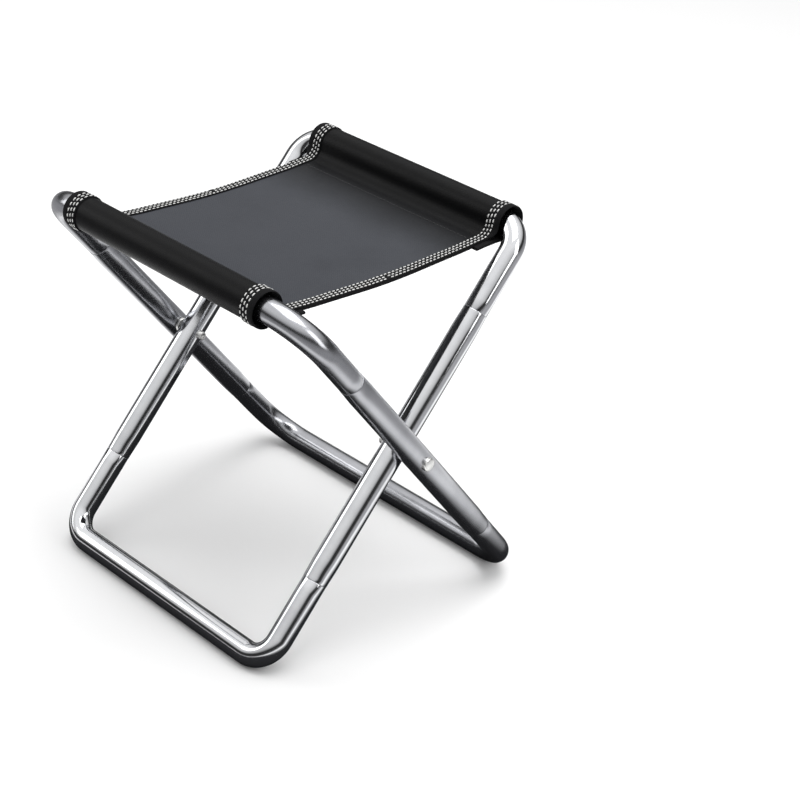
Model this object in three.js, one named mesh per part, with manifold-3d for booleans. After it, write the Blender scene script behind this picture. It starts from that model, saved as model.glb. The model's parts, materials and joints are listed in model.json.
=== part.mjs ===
import * as THREE from "three";
import { mergeVertices } from "three/addons/utils/BufferGeometryUtils.js";
import Module from "manifold-3d";

const wasm = await Module();
wasm.setup();

// Folding camp stool, standing open on its two foot rails.
// Units are mm. +X runs along the rails, +Y from the front rail to the back rail, +Z is up.
// The outer frame rises towards the front, the inner frame rises towards the back,
// and both turn on two rivets half way up the legs.

// Overall size, open: width over the rivet heads, depth over the foot rails, height to the seat hems.
const OVERALL_WIDTH = 274;
const FOOT_DEPTH = 234;
const OVERALL_HEIGHT = 276;

// Clearance left between pieces that touch.
const GAP = 0.3;

// Steel tube. The bent ends are plugged into slightly larger straight side tubes.
const SIDES = 24;
const BEND_R = 8.5;
const BEND_WALL = 1.0;
const SIDE_R = 9;
const SIDE_WALL = 1.0;
const SIDE_HALF_LENGTH = 104;
const SPIGOT_WALL = 1.2;
const SPIGOT_LENGTH = 18;
const SPIGOT_ROOT = 6;
const COLLAR_TAPER = 1.2;

// Corner radii on the tube centreline.
const OUTER_CORNER_R = 31;
const INNER_CORNER_R = 19;
const CORNER_STEPS = 9;

// Pivot rivets and the washers between the two frames.
const RIVET_SHANK_R = 2.5;
const RIVET_HEAD_R = 4.3;
const RIVET_HEAD_HEIGHT = 2.2;
const RIVET_TAIL_R = 3.3;
const RIVET_TAIL_LENGTH = 3.2;
const WASHER_R = 5.6;
const WASHER_THICKNESS = 2.2;

// Seat fabric: a sleeve on each top rail, a panel slung between them with its middle plane
// PANEL_DROP below the rail centres, and bound side edges.
const SLEEVE_R = 11.5;
const SLEEVE_BORE_R = 9.2;
const HEM_R = 12.5;
const HEM_BORE_END_R = 11.8;
const HEM_WIDTH = 12;
const SEAT_HALF_WIDTH = 93;
const PANEL_HALF_WIDTH = 89;
const PANEL_THICKNESS = 1.2;
const PANEL_DROP = 9;
const BINDING_THICKNESS = 0.8;
const BINDING_EDGE = 0.6;
const UNDERLAP_THICKNESS = 0.9;
const UNDERLAP_LENGTH = 25;
const LATHE_STEPS = 32;

// Positions that follow from the sizes above.
const FOOT_FLAT = BEND_R * Math.cos(Math.PI / SIDES);
const RAIL_Y = FOOT_DEPTH / 2 - FOOT_FLAT;
const RAIL_Z = OVERALL_HEIGHT - HEM_R;
const PIVOT_Z = (RAIL_Z + FOOT_FLAT) / 2;
const LEG_REACH = Math.hypot(RAIL_Y, RAIL_Z - PIVOT_Z);
const LEG_TILT = Math.atan2(RAIL_Y, RAIL_Z - PIVOT_Z);
const OUTER_X = OVERALL_WIDTH / 2 - RIVET_HEAD_HEIGHT - GAP - SIDE_R;
const INNER_X = OUTER_X - 2 * SIDE_R - WASHER_THICKNESS - 2 * GAP;
const HOLE_R = RIVET_SHANK_R + GAP;

/** Turn a closed three.js geometry into a manifold solid. */
function solid(geometry) {
  const welded = geometry.clone();
  welded.deleteAttribute("normal");
  welded.deleteAttribute("uv");
  const merged = mergeVertices(welded, 1e-4);
  const vertProperties = new Float32Array(merged.attributes.position.array);
  const triVerts = new Uint32Array(merged.index.array);
  return new wasm.Manifold(new wasm.Mesh({ numProp: 3, vertProperties, triVerts }));
}

/** Turn a manifold solid back into a flat-shaded three.js geometry. */
function geometryOf(manifold) {
  const mesh = manifold.getMesh();
  const indexed = new THREE.BufferGeometry();
  indexed.setAttribute("position", new THREE.BufferAttribute(new Float32Array(mesh.vertProperties), 3));
  indexed.setIndex(new THREE.BufferAttribute(new Uint32Array(mesh.triVerts), 1));
  const flat = indexed.toNonIndexed();
  flat.computeVertexNormals();
  return flat;
}

/** Corners of a regular polygon that has one facet facing the angle `facet`. */
function polygon(radius, facet) {
  return Array.from({ length: SIDES }, (_, i) => {
    const angle = facet + ((i + 0.5) * 2 * Math.PI) / SIDES;
    return new THREE.Vector2(radius * Math.cos(angle), radius * Math.sin(angle));
  });
}

/** Section of a tube wall. */
function tubeSection(radius, wall, facet) {
  const shape = new THREE.Shape(polygon(radius, facet));
  shape.holes.push(new THREE.Path(polygon(radius - wall, facet)));
  return shape;
}

/** A path through fixed stations, so bends are stepped finely and straights are one step. */
class StationPath extends THREE.Curve {
  constructor(points, tangents) {
    super();
    this.points = points;
    this.tangents = tangents;
  }

  getPointAt(u, target = new THREE.Vector3()) {
    return target.copy(this.points[Math.round(u * (this.points.length - 1))]);
  }

  getTangentAt(u, target = new THREE.Vector3()) {
    return target.copy(this.tangents[Math.round(u * (this.points.length - 1))]);
  }
}

/** U-shaped path: down one leg, round two corners and along the rail, and up the other leg. */
function bendPath(halfWidth, cornerR) {
  const points = [new THREE.Vector3(-halfWidth, 0, -SIDE_HALF_LENGTH)];
  const tangents = [new THREE.Vector3(0, 0, -1)];
  for (const side of [-1, 1]) {
    for (let i = 0; i <= CORNER_STEPS; i += 1) {
      const turn = (i / CORNER_STEPS) * (Math.PI / 2);
      const angle = side < 0 ? turn : Math.PI / 2 - turn;
      const x = side * (halfWidth - cornerR + cornerR * Math.cos(angle));
      const z = -LEG_REACH + cornerR * (1 - Math.sin(angle));
      points.push(new THREE.Vector3(x, 0, z));
      tangents.push(new THREE.Vector3(Math.sin(angle), 0, side * Math.cos(angle)));
    }
  }
  points.push(new THREE.Vector3(halfWidth, 0, -SIDE_HALF_LENGTH));
  tangents.push(new THREE.Vector3(0, 0, 1));
  return new StationPath(points, tangents);
}

/** Ring turned round Z from a closed profile of [radius, height] pairs. */
function turned(profile, steps = SIDES) {
  const points = profile.map(([radius, height]) => new THREE.Vector2(radius, height));
  points.push(points[0].clone());
  return new THREE.LatheGeometry(points, steps).rotateX(Math.PI / 2);
}

/** Reduced end of a bent tube: it tapers down at the shoulder and plugs into a side tube. */
function spigot() {
  const outer = SIDE_R - SIDE_WALL - GAP;
  const inner = outer - SPIGOT_WALL;
  const profile = [
    [inner, -SPIGOT_ROOT],
    [outer, -SPIGOT_ROOT],
    [BEND_R - BEND_WALL / 2, 0],
    [outer, COLLAR_TAPER],
    [outer, SPIGOT_LENGTH],
    [inner, SPIGOT_LENGTH],
  ];
  return turned(profile);
}

/** Bent end of one frame, in its own plane, with the rail below and the spigots upwards. */
function bentEnd(halfWidth, cornerR, facet) {
  const path = bendPath(halfWidth, cornerR);
  const steps = path.points.length - 1;
  const section = tubeSection(BEND_R, BEND_WALL, facet);
  let body = solid(new THREE.ExtrudeGeometry(section, { steps, extrudePath: path, bevelEnabled: false }));
  for (const side of [-1, 1]) {
    const plug = spigot().rotateZ(facet).translate(side * halfWidth, 0, -SIDE_HALF_LENGTH);
    body = body.add(solid(plug));
  }
  return geometryOf(body);
}

/** Straight side tube with a cross hole for the pivot rivet, in the frame's own plane. */
function sideTube(x) {
  const half = SIDE_HALF_LENGTH - GAP;
  const wall = [
    [SIDE_R - SIDE_WALL, -half],
    [SIDE_R, -half],
    [SIDE_R, half],
    [SIDE_R - SIDE_WALL, half],
  ];
  const drill = new THREE.CylinderGeometry(HOLE_R, HOLE_R, 3 * SIDE_R, SIDES).rotateZ(Math.PI / 2);
  return geometryOf(solid(turned(wall)).subtract(solid(drill))).translate(x, 0, 0);
}

/** Set a piece built in a frame's own plane into the open stool. */
function placeFrame(geometry, tilt) {
  return geometry.rotateX(tilt).translate(0, 0, PIVOT_Z);
}

/** Pivot rivet on the +X side: domed head outside, shank through both frames, clenched tail. */
function rivet() {
  const tailEnd = INNER_X - SIDE_R - GAP - RIVET_TAIL_LENGTH;
  const tailTop = INNER_X - SIDE_R - GAP;
  const headBase = OUTER_X + SIDE_R + GAP;
  const points = [
    [0, tailEnd],
    [RIVET_TAIL_R - 0.9, tailEnd],
    [RIVET_TAIL_R, tailEnd + 0.9],
    [RIVET_TAIL_R, tailTop],
    [RIVET_SHANK_R, tailTop],
    [RIVET_SHANK_R, headBase],
    [RIVET_HEAD_R, headBase],
  ];
  const dome = 6;
  for (let i = 1; i <= dome; i += 1) {
    const angle = (i / dome) * (Math.PI / 2);
    points.push([RIVET_HEAD_R * Math.cos(angle), headBase + RIVET_HEAD_HEIGHT * Math.sin(angle)]);
  }
  points[points.length - 1][0] = 0;
  const profile = points.map(([radius, height]) => new THREE.Vector2(radius, height));
  return new THREE.LatheGeometry(profile, SIDES).rotateZ(-Math.PI / 2).translate(0, 0, PIVOT_Z);
}

/** Washer between the two frames on the +X side. */
function washer() {
  const half = WASHER_THICKNESS / 2;
  const profile = [
    [HOLE_R, -half],
    [WASHER_R - 0.4, -half],
    [WASHER_R, -half + 0.4],
    [WASHER_R, half - 0.4],
    [WASHER_R - 0.4, half],
    [HOLE_R, half],
  ];
  const middle = OUTER_X - SIDE_R - GAP - half;
  return turned(profile).rotateY(Math.PI / 2).translate(middle, 0, PIVOT_Z);
}

/** Copy of a round +X side piece for the -X side. */
function opposite(geometry) {
  return geometry.clone().rotateZ(Math.PI);
}

/** Fabric sleeve round a top rail, centred on the origin along X. */
function sleeve() {
  const half = SEAT_HALF_WIDTH - HEM_WIDTH - GAP;
  const profile = [
    [SLEEVE_BORE_R, -half],
    [SLEEVE_R, -half],
    [SLEEVE_R, half],
    [SLEEVE_BORE_R, half],
  ];
  return turned(profile, LATHE_STEPS).rotateY(Math.PI / 2);
}

/** Flat plate from an outline in X and Y, lying between two heights. */
function plate(outline, bottom, top) {
  const shape = new THREE.Shape(outline.map(([x, y]) => new THREE.Vector2(x, y)));
  const depth = top - bottom;
  return new THREE.ExtrudeGeometry(shape, { depth, bevelEnabled: false }).translate(0, 0, bottom);
}

/** Corners of a rectangle from two opposite ones. */
function rectangle(x0, y0, x1, y1) {
  return [
    [x0, y0],
    [x1, y0],
    [x1, y1],
    [x0, y1],
  ];
}

/** How far in from the rail centre a face at `height` starts to clear a round piece on the rail. */
function clearOf(radius, height) {
  return Math.sqrt((radius + GAP) ** 2 - height ** 2);
}

/** Half of the seat panel, from the sleeve at the origin to the middle of the seat. */
function panel() {
  const wide = PANEL_HALF_WIDTH - BINDING_EDGE - GAP;
  const narrow = SEAT_HALF_WIDTH - HEM_WIDTH - GAP;
  const top = PANEL_THICKNESS / 2 - PANEL_DROP;
  const start = clearOf(SLEEVE_R, top);
  const notch = clearOf(HEM_R, top);
  const end = RAIL_Y - GAP / 2;
  const outline = [
    [-narrow, start],
    [narrow, start],
    [narrow, notch],
    [wide, notch],
    [wide, end],
    [-wide, end],
    [-wide, notch],
    [-narrow, notch],
  ];
  return plate(outline, top - PANEL_THICKNESS, top);
}

/** Folded-back end of the sheet, sewn under the panel next to the sleeve. */
function underlap() {
  const narrow = SEAT_HALF_WIDTH - HEM_WIDTH - GAP;
  const top = -PANEL_DROP - PANEL_THICKNESS / 2 - GAP;
  const start = clearOf(SLEEVE_R, top);
  const outline = rectangle(-narrow, start, narrow, start + UNDERLAP_LENGTH);
  return plate(outline, top - UNDERLAP_THICKNESS, top);
}

/** Hem on the +X end of a sleeve. Its bore flares, so it clears the bend of the tube as it turns. */
function hem() {
  const near = SEAT_HALF_WIDTH - HEM_WIDTH;
  const profile = [
    [SLEEVE_BORE_R, near],
    [HEM_R, near],
    [HEM_R, SEAT_HALF_WIDTH],
    [HEM_BORE_END_R, SEAT_HALF_WIDTH],
  ];
  return turned(profile, LATHE_STEPS).rotateY(Math.PI / 2);
}

/** Folded tape on the +X edge of the panel, from the hem to the middle of the seat. */
function binding() {
  const near = SEAT_HALF_WIDTH - HEM_WIDTH;
  const slotHalf = PANEL_THICKNESS / 2 + GAP;
  const half = slotHalf + BINDING_THICKNESS;
  const start = clearOf(HEM_R, half - PANEL_DROP);
  const end = RAIL_Y - GAP / 2;
  const tape = plate(rectangle(near, start, PANEL_HALF_WIDTH, end), -half, half);
  const slotEdge = PANEL_HALF_WIDTH - BINDING_EDGE;
  const slot = plate(rectangle(near - 1, start - 1, slotEdge, end + 1), -slotHalf, slotHalf);
  return geometryOf(solid(tape).subtract(solid(slot))).translate(0, 0, -PANEL_DROP);
}

/** Set a seat piece on the front rail. */
function onFrontRail(geometry) {
  return geometry.translate(0, -RAIL_Y, RAIL_Z);
}

/** Set a seat piece on the back rail, turned to face the front. */
function onBackRail(geometry) {
  return geometry.rotateZ(Math.PI).translate(0, RAIL_Y, RAIL_Z);
}

const satinSteel = { color: 0xb9bbbf, roughness: 0.3, metalness: 1.0 };
const brightSteel = { color: 0xd9dbde, roughness: 0.16, metalness: 1.0 };
const rivetSteel = { color: 0xe4e5e7, roughness: 0.22, metalness: 1.0 };
const blackFabric = { color: 0x1b1b1e, roughness: 0.72, metalness: 0.0 };
const seatFabric = { color: 0x3d3e43, roughness: 0.6, metalness: 0.0 };
const bindingTape = { color: 0x151517, roughness: 0.8, metalness: 0.0 };

const group = new THREE.Group();
group.name = "camp_stool";

/** Add one named piece with its own material. */
function add(name, geometry, finish) {
  const mesh = new THREE.Mesh(geometry, new THREE.MeshStandardMaterial(finish));
  mesh.name = name;
  group.add(mesh);
}

// Facet angles that put a flat of each foot rail on the floor.
const footOuter = Math.PI / 2 - LEG_TILT;
const footInner = Math.PI / 2 + LEG_TILT;
const outerLower = bentEnd(OUTER_X, OUTER_CORNER_R, footOuter);
const outerUpper = bentEnd(OUTER_X, OUTER_CORNER_R, footOuter).rotateX(Math.PI);
const innerLower = bentEnd(INNER_X, INNER_CORNER_R, footInner);
const innerUpper = bentEnd(INNER_X, INNER_CORNER_R, footInner).rotateX(Math.PI);

add("outer_upper_bend", placeFrame(outerUpper, LEG_TILT), satinSteel);
add("outer_lower_bend", placeFrame(outerLower, LEG_TILT), satinSteel);
add("outer_side_tube_right", placeFrame(sideTube(OUTER_X), LEG_TILT), satinSteel);
add("outer_side_tube_left", placeFrame(sideTube(-OUTER_X), LEG_TILT), satinSteel);
add("inner_upper_bend", placeFrame(innerUpper, -LEG_TILT), brightSteel);
add("inner_lower_bend", placeFrame(innerLower, -LEG_TILT), brightSteel);
add("inner_side_tube_right", placeFrame(sideTube(INNER_X), -LEG_TILT), brightSteel);
add("inner_side_tube_left", placeFrame(sideTube(-INNER_X), -LEG_TILT), brightSteel);

add("pivot_rivet_right", rivet(), rivetSteel);
add("pivot_rivet_left", opposite(rivet()), rivetSteel);
add("spacer_washer_right", washer(), rivetSteel);
add("spacer_washer_left", opposite(washer()), rivetSteel);

/** Add one half of the seat; `put` sets a piece on its rail, where the first side named is +X. */
function addSeatHalf(half, put, sides) {
  add(`seat_${half}_sleeve`, put(sleeve()), blackFabric);
  add(`seat_${half}_panel`, put(panel()), seatFabric);
  add(`seat_${half}_underlap`, put(underlap()), blackFabric);
  sides.forEach((side, i) => {
    add(`seat_${half}_hem_${side}`, put(hem().rotateY(i * Math.PI)), bindingTape);
    add(`seat_${half}_binding_${side}`, put(binding().rotateY(i * Math.PI)), bindingTape);
  });
}

addSeatHalf("front", onFrontRail, ["right", "left"]);
addSeatHalf("back", onBackRail, ["left", "right"]);

export default group;
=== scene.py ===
"""Looks of a folding camp stool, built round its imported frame.

Everything is in metres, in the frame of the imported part: +X runs along the rails, +Y points from
the front rail to the back rail and +Z is up. The stool is made as a maker would make it: two bent
tube frames, two rivets with their washers, and a sling of coated cloth with bound edges.
"""

from __future__ import annotations

import json
import logging
import math
from collections.abc import Callable, Sequence
from dataclasses import dataclass, field
from enum import Enum
from functools import partial

import bpy
from mathutils import Matrix, Vector

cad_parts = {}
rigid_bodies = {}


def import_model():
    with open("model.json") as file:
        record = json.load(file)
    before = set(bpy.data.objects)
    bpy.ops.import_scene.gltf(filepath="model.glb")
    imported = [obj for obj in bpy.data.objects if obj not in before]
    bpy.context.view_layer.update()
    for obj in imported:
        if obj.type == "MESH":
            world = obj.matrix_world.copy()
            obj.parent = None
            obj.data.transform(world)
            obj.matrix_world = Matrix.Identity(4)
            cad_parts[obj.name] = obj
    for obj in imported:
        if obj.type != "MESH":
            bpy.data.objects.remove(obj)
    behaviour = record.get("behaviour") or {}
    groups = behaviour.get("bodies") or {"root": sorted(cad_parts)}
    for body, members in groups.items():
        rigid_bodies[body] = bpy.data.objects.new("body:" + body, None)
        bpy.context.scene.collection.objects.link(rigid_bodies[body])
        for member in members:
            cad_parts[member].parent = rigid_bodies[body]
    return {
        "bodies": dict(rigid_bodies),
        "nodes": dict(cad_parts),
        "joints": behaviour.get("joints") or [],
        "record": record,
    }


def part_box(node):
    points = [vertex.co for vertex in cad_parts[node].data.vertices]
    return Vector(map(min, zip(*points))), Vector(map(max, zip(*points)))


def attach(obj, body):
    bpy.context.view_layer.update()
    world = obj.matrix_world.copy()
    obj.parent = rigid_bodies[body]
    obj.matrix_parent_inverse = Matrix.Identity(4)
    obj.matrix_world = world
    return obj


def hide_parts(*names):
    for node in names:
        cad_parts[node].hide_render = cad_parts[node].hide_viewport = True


LOG = logging.getLogger("camp_stool")

MM = 0.001
GRID = "metres"  # name of every piece's own UV map, whose unit is the metre

Row = list[Vector]
Socket = bpy.types.NodeSocket
Piece = bpy.types.Object
Material = bpy.types.Material
Tree = bpy.types.NodeTree

NOISE_SPAN = {"From Min": 0.3, "From Max": 0.7}  # the levels that a noise texture mostly gives


# ---------------------------------------------------------------------------------------------
# Small helpers
# ---------------------------------------------------------------------------------------------


def linear(code: str) -> tuple[float, float, float, float]:
    """Turn an sRGB hex colour into Blender's linear colour.

    Args:
        code: The colour as "#rrggbb".

    Returns:
        Linear red, green, blue and an alpha of one.
    """
    parts = [int(code[i : i + 2], 16) / 255 for i in (1, 3, 5)]
    red, green, blue = (c / 12.92 if c <= 0.04045 else ((c + 0.055) / 1.055) ** 2.4 for c in parts)
    return red, green, blue, 1.0


def smooth(low: float, high: float, value: float) -> float:
    """Ease from 0 at `low` to 1 at `high`."""
    t = min(1.0, max(0.0, (value - low) / (high - low)))
    return t * t * (3 - 2 * t)


def jitter(index: int, salt: float) -> float:
    """Give a repeatable uneven number from -1 to 1 for a counted thing."""
    return 2 * ((math.sin(index * 12.9898 + salt * 78.233) * 43758.5453) % 1.0) - 1


def add_node(
    tree: bpy.types.NodeTree,
    kind: str,
    settings: dict[str, object] | None = None,
    inputs: dict[str | int, object] | None = None,
) -> bpy.types.Node:
    """Add one shader node with its settings and its inputs.

    Args:
        tree: The node tree to add to.
        kind: The node's type, such as "ShaderNodeBump".
        settings: Properties of the node itself.
        inputs: Values or output sockets for its inputs, by name or number.

    Returns:
        The new node.
    """
    node = tree.nodes.new(kind)
    for name, value in (settings or {}).items():
        setattr(node, name, value)
    for name, value in (inputs or {}).items():
        if isinstance(value, Socket):
            tree.links.new(value, node.inputs[name])
        else:
            node.inputs[name].default_value = value
    return node


def new_material(name: str, uniform: dict[str, float]) -> tuple[Material, Tree, bpy.types.Node]:
    """Start a material on the standard shader.

    Args:
        name: The material's name.
        uniform: Values for the shader's own sockets.

    Returns:
        The material, its node tree and its shader.
    """
    material = bpy.data.materials.new(name)
    material.use_nodes = True
    tree = material.node_tree
    shader = tree.nodes["Principled BSDF"]
    for socket, value in uniform.items():
        shader.inputs[socket].default_value = value
    return material, tree, shader


def plug(tree: Tree, node: bpy.types.Node, sources: dict[str, Socket]) -> None:
    """Link output sockets to a node's inputs by name."""
    for name, source in sources.items():
        tree.links.new(source, node.inputs[name])


def set_ramp(node: bpy.types.Node, stops: Sequence[tuple[float, str | float]]) -> None:
    """Fill a colour ramp.

    Args:
        node: The colour ramp node.
        stops: Position and either an sRGB hex colour or a grey level, in order.
    """
    elements = node.color_ramp.elements
    while len(elements) < len(stops):
        elements.new(0.5)
    for element, (position, tone) in zip(elements, stops):
        element.position = position
        element.color = linear(tone) if isinstance(tone, str) else (tone, tone, tone, 1.0)


# ---------------------------------------------------------------------------------------------
# Finishes
# ---------------------------------------------------------------------------------------------


@dataclass(frozen=True)
class PolishedSteel:
    """Steel tube or rivet, polished along its length and plated or passivated.

    To the eye it is a dark mirror: it shows the room as long stripes, softened by the fine
    polishing lines that run along the tube, with a faint haze where it is handled.
    """

    name: str
    colour: str
    haze_colour: str
    roughness: float
    haze: float
    line_spacing: float = 0.35 * MM  # real lines are about 0.1 mm apart, drawn coarser to show
    line_length: float = 45 * MM
    line_depth: float = 0.0016 * MM
    dent_depth: float = 0.012 * MM  # slow waviness that a drawn tube keeps

    def make(self) -> Material:
        """Build the material.

        Returns:
            The polished metal, with lines along the tube, slow dents and a handled haze.
        """
        material, tree, shader = new_material(self.name, {"Metallic": 1.0})
        add = partial(add_node, tree)
        metres = add("ShaderNodeUVMap", {"uv_map": GRID}).outputs["UV"]
        place = add("ShaderNodeTexCoord").outputs["Object"]
        fine = (1 / self.line_spacing, 1 / self.line_length, 1.0)
        stretched = add("ShaderNodeMapping", inputs={"Vector": metres, "Scale": fine}).outputs[0]
        lines = add(
            "ShaderNodeTexNoise",
            inputs={"Vector": stretched, "Scale": 1.0, "Detail": 3.0, "Roughness": 0.6},
        )
        handling = add(
            "ShaderNodeTexNoise",
            inputs={"Vector": place, "Scale": 28.0, "Detail": 5.0, "Roughness": 0.62},
        ).outputs["Fac"]
        dents = add("ShaderNodeTexNoise", inputs={"Vector": place, "Scale": 60.0, "Detail": 1.0})
        tint = add("ShaderNodeValToRGB", inputs={"Fac": handling})
        set_ramp(tint, [(0.35, self.haze_colour), (0.65, self.colour)])
        ends = {"To Min": self.roughness + self.haze, "To Max": self.roughness}
        gloss = add("ShaderNodeMapRange", inputs={"Value": handling, **NOISE_SPAN, **ends})
        normal = None
        for depth, height in ((self.dent_depth, dents), (self.line_depth, lines)):
            inputs = {"Distance": depth, "Height": height.outputs["Fac"]}
            if normal is not None:
                inputs["Normal"] = normal
            normal = add("ShaderNodeBump", inputs=inputs).outputs["Normal"]
        sources = {"Base Color": tint.outputs[0], "Roughness": gloss.outputs[0], "Normal": normal}
        plug(tree, shader, sources)
        return material


@dataclass(frozen=True)
class CoatedOxford:
    """Oxford cloth, woven from polyester and coated on its face.

    The coating fills most of the weave, so the eye sees a nearly smooth, soft-glossy black with a
    fine grid under raking light. Its colour holds painted light and shade: the upward-facing panel
    is painted a lit charcoal and the sleeves a shaded black.
    """

    name: str = "coated_oxford_polyester"
    # Painted shade and painted light: the sleeves' black and the panel's charcoal are shaded and
    # lit copies of one black cloth.
    sleeve_colour: str = "#060607"
    panel_colour: str = "#3e4045"
    roughness: float = 0.34
    specular: float = 0.1
    sheen: float = 0.02
    thread: float = 0.9 * MM  # real threads are about 0.45 mm apart, drawn twice as coarse to show
    weave_depth: float = 0.035 * MM
    crease_depth: float = 0.25 * MM

    def make(self) -> Material:
        """Build the material.

        Returns:
            The woven cloth, with painted shade on the sleeves and painted light on the panel.
        """
        uniform = {
            "Specular IOR Level": self.specular,
            "Sheen Weight": self.sheen,
            "Sheen Roughness": 0.5,
        }
        material, tree, shader = new_material(self.name, uniform)
        add = partial(add_node, tree)
        metres = add("ShaderNodeUVMap", {"uv_map": GRID}).outputs["UV"]
        place = add("ShaderNodeTexCoord").outputs["Object"]
        bands = [self.threads(tree, metres, turn) for turn in (0.0, math.pi / 2)]
        over = add(
            "ShaderNodeTexChecker",
            inputs={
                "Vector": metres,
                "Scale": 1 / self.thread,
                "Color1": (1.0, 1.0, 1.0, 1.0),
                "Color2": (0.0, 0.0, 0.0, 1.0),
            },
        ).outputs["Fac"]
        weave = add(
            "ShaderNodeMix", {"data_type": "FLOAT"}, {0: over, 2: bands[0], 3: bands[1]}
        ).outputs[0]
        creases = add(
            "ShaderNodeTexNoise",
            inputs={"Vector": place, "Scale": 34.0, "Detail": 4.0, "Roughness": 0.5},
        ).outputs["Fac"]
        # Painted light: the mesh's painted-light attribute lifts the panel from the shaded black to
        # the lit charcoal, a little unevenly.
        rub = add("ShaderNodeAttribute", {"attribute_name": "rub"}).outputs["Fac"]
        uneven = add(
            "ShaderNodeTexNoise",
            inputs={"Vector": place, "Scale": 14.0, "Detail": 6.0, "Roughness": 0.6},
        ).outputs["Fac"]
        patchy = {"Value": uneven, **NOISE_SPAN}
        patchy_light_scale = add("ShaderNodeMapRange", inputs={**patchy, "To Min": 0.86, "To Max": 1.12})
        amount = add(
            "ShaderNodeMath",
            {"operation": "MULTIPLY", "use_clamp": True},
            {0: rub, 1: patchy_light_scale.outputs["Result"]},
        )
        tone = add("ShaderNodeValToRGB", inputs={"Fac": amount.outputs[0]})
        set_ramp(tone, [(0.0, self.sleeve_colour), (1.0, self.panel_colour)])
        shade = add("ShaderNodeMapRange", inputs={"Value": weave, "To Min": 0.82, "To Max": 1.06})
        woven = add(
            "ShaderNodeMix",
            {"data_type": "RGBA", "blend_type": "MULTIPLY"},
            {0: 1.0, 6: tone.outputs["Color"], 7: shade.outputs["Result"]},
        )
        ends = {"To Min": self.roughness + 0.07, "To Max": self.roughness - 0.05}
        gloss = add("ShaderNodeMapRange", inputs={**patchy, **ends})
        soft = add("ShaderNodeBump", inputs={"Distance": self.crease_depth, "Height": creases})
        fine = {"Distance": self.weave_depth, "Height": weave, "Normal": soft.outputs["Normal"]}
        bump = add("ShaderNodeBump", inputs=fine).outputs["Normal"]
        sources = {"Base Color": woven.outputs[2], "Roughness": gloss.outputs[0], "Normal": bump}
        plug(tree, shader, sources)
        return material

    def threads(self, tree: bpy.types.NodeTree, metres: Socket, turn: float) -> Socket:
        """Draw one set of parallel threads.

        Args:
            tree: The material's node tree.
            metres: The cloth's own coordinates.
            turn: Direction of the threads, in radians.

        Returns:
            The height of the threads, from 0 to 1.
        """
        spin = {"Vector": metres, "Rotation": (0.0, 0.0, turn)}
        turned = add_node(tree, "ShaderNodeMapping", inputs=spin)
        # A wave texture repeats 20 / (2 pi) times a unit at scale 1.
        wave = add_node(
            tree,
            "ShaderNodeTexWave",
            inputs={
                "Vector": turned.outputs[0],
                "Scale": math.tau / 20 / self.thread,
                "Distortion": 0.15,
                "Detail": 1.0,
            },
        )
        return wave.outputs["Fac"]


@dataclass(frozen=True)
class RibbedTape:
    """Polyester grosgrain binding tape, woven with ribs across its length.

    To the eye it is a matt, deep black with fine ribs, and it takes almost no highlight.
    """

    name: str = "grosgrain_binding_tape"
    colour: str = "#060607"
    rib_colour: str = "#111113"
    roughness: float = 0.82
    rib: float = 0.8 * MM  # real ribs are about 0.5 mm apart, drawn coarser to show
    rib_depth: float = 0.09 * MM

    def make(self) -> Material:
        """Build the material.

        Returns:
            The matt ribbed tape.
        """
        uniform = {"Specular IOR Level": 0.15, "Sheen Weight": 0.03, "Sheen Roughness": 0.4}
        material, tree, shader = new_material(self.name, uniform)
        add = partial(add_node, tree)
        metres = add("ShaderNodeUVMap", {"uv_map": GRID}).outputs["UV"]
        ribs = add(
            "ShaderNodeTexWave",
            {"bands_direction": "Y"},
            {"Vector": metres, "Scale": math.tau / 20 / self.rib, "Distortion": 0.4, "Detail": 2.0},
        ).outputs["Fac"]
        fuzz = {"Vector": metres, "Scale": 2600.0, "Detail": 2.0}
        fibres = add("ShaderNodeTexNoise", inputs=fuzz).outputs["Fac"]
        mixed = {0: 0.35, 2: ribs, 3: fibres}
        height = add("ShaderNodeMix", {"data_type": "FLOAT"}, mixed).outputs[0]
        tone = add("ShaderNodeValToRGB", inputs={"Fac": height})
        set_ramp(tone, [(0.25, self.colour), (0.8, self.rib_colour)])
        ends = {"To Min": self.roughness - 0.08, "To Max": self.roughness + 0.08}
        matt = add("ShaderNodeMapRange", inputs={"Value": fibres, **ends})
        bump = add("ShaderNodeBump", inputs={"Distance": self.rib_depth, "Height": height})
        sources = {
            "Base Color": tone.outputs["Color"],
            "Roughness": matt.outputs["Result"],
            "Normal": bump.outputs["Normal"],
        }
        plug(tree, shader, sources)
        return material


@dataclass(frozen=True)
class TwistedThread:
    """Bonded polyester sewing thread, twisted from three plies.

    To the eye each stitch is a small bright bead with darker twist lines across it.
    """

    name: str
    colour: str
    twist_colour: str
    twist: float = 0.55 * MM  # the real twist is about 0.3 mm, drawn coarser to show
    twist_depth: float = 0.06 * MM

    def make(self) -> Material:
        """Build the material.

        Returns:
            The twisted thread.
        """
        material, tree, shader = new_material(self.name, {"Sheen Weight": 0.1})
        add = partial(add_node, tree)
        metres = add("ShaderNodeUVMap", {"uv_map": GRID}).outputs["UV"]
        plies = add(
            "ShaderNodeTexWave",
            {"bands_direction": "DIAGONAL"},
            {"Vector": metres, "Scale": math.tau / 20 / self.twist, "Distortion": 0.3},
        ).outputs["Fac"]
        tone = add("ShaderNodeValToRGB", inputs={"Fac": plies})
        set_ramp(tone, [(0.0, self.twist_colour), (0.55, self.colour)])
        bump = add("ShaderNodeBump", inputs={"Distance": self.twist_depth, "Height": plies})
        matt = add("ShaderNodeMapRange", inputs={"Value": plies, "To Min": 0.68, "To Max": 0.52})
        sources = {
            "Base Color": tone.outputs["Color"],
            "Roughness": matt.outputs["Result"],
            "Normal": bump.outputs["Normal"],
        }
        plug(tree, shader, sources)
        return material


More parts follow.
